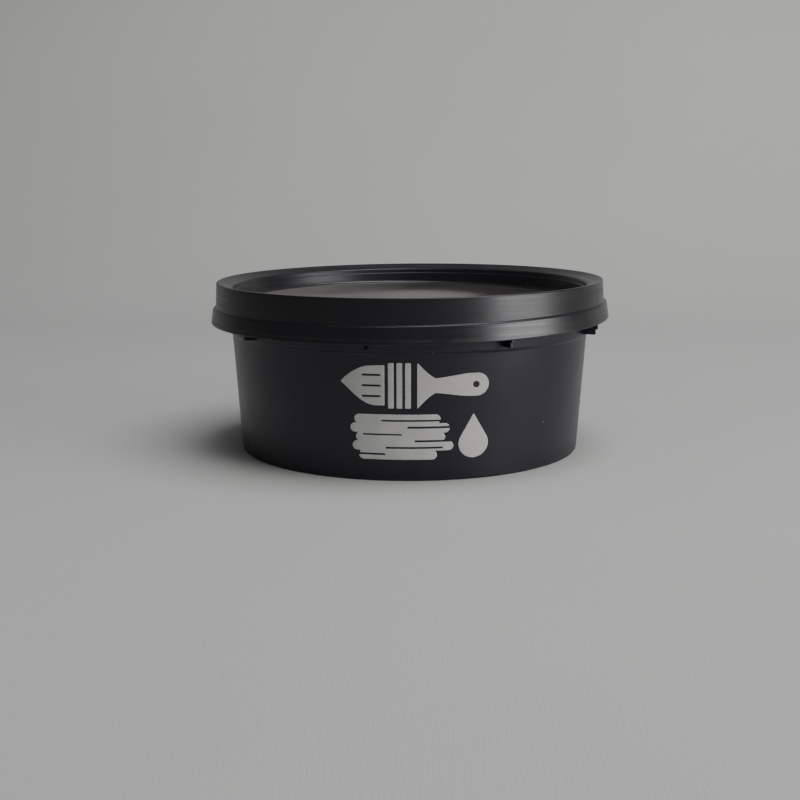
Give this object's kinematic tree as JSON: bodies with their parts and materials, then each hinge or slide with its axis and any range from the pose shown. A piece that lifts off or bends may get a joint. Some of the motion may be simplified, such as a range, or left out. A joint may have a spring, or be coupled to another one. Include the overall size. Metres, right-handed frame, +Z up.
{
  "type": "paint tub",
  "caption": "Low round snap-lid plastic tub with a stepped lid skirt, short webs under the lid, a recessed lid panel and a white brush print.",
  "frame": {"origin": "centre of the foot ring, on the surface the tub stands on", "axes": "+Z up along the tub's axis; -Y is the front, where the print is; +X is to the right as seen from the front"},
  "size_m": [0.1754, 0.1754, 0.0744],
  "materials": {
    "tub_plastic": "satin injection-moulded polypropylene, near black",
    "lid_plastic": "satin injection-moulded polypropylene, near black, glossier on the panel",
    "white_ink": "thin screen-printed white ink",
    "white_paint": "wet white paint"
  },
  "bodies": {
    "tub_body": {"tub": "tub_plastic", "paint": "white_paint", "front_print": "white_ink"},
    "lid_body": {"lid": "lid_plastic"}
  },
  "joints": [
    {"name": "lid_lift", "type": "slide", "parent": "tub_body", "child": "lid_body", "axis": [0, 0, 1], "range_m": [0, 0.045]}
  ]
}
